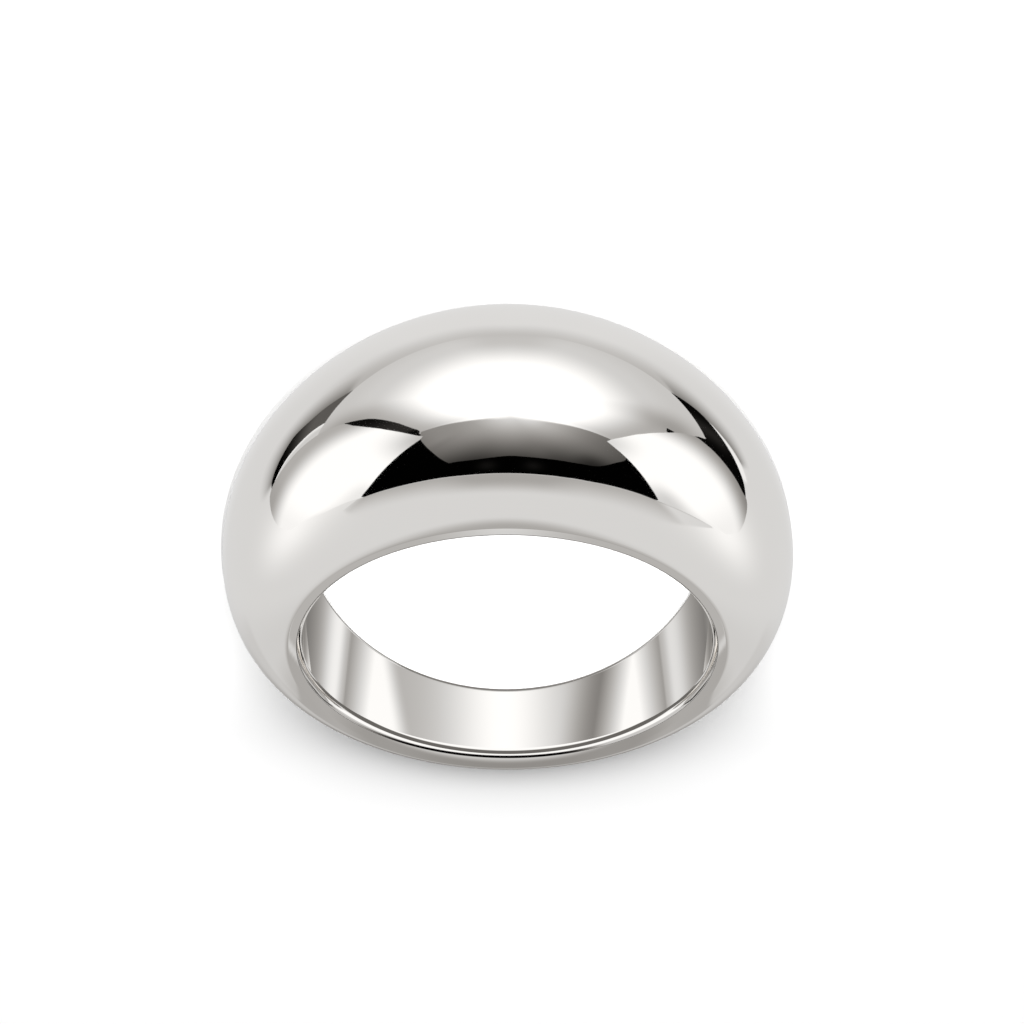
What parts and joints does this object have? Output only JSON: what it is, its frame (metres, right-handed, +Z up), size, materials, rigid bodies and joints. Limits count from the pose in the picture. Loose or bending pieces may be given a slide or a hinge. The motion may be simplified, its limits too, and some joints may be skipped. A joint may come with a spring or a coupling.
{
  "type": "domed pinky ring",
  "caption": "Plain polished silver pinky ring whose rounded band swells into a broad high dome over the finger and narrows beneath it.",
  "frame": {"origin": "centre of the ring's box in X and Y, on the surface that the ring lies on", "axes": "+Z up, square to the flat side that the ring lies on; -Y towards the crown of the dome; X across the ring. The bore's axis lies in the YZ plane and leans 12.6 degrees from +Z towards +Y, because the flat sides are not parallel"},
  "size_m": [0.0218, 0.0216, 0.0108],
  "materials": {
    "polished_silver": "mirror-polished sterling silver with faint wear"
  },
  "bodies": {
    "root": {"domed_band": "polished_silver"}
  },
  "joints": []
}
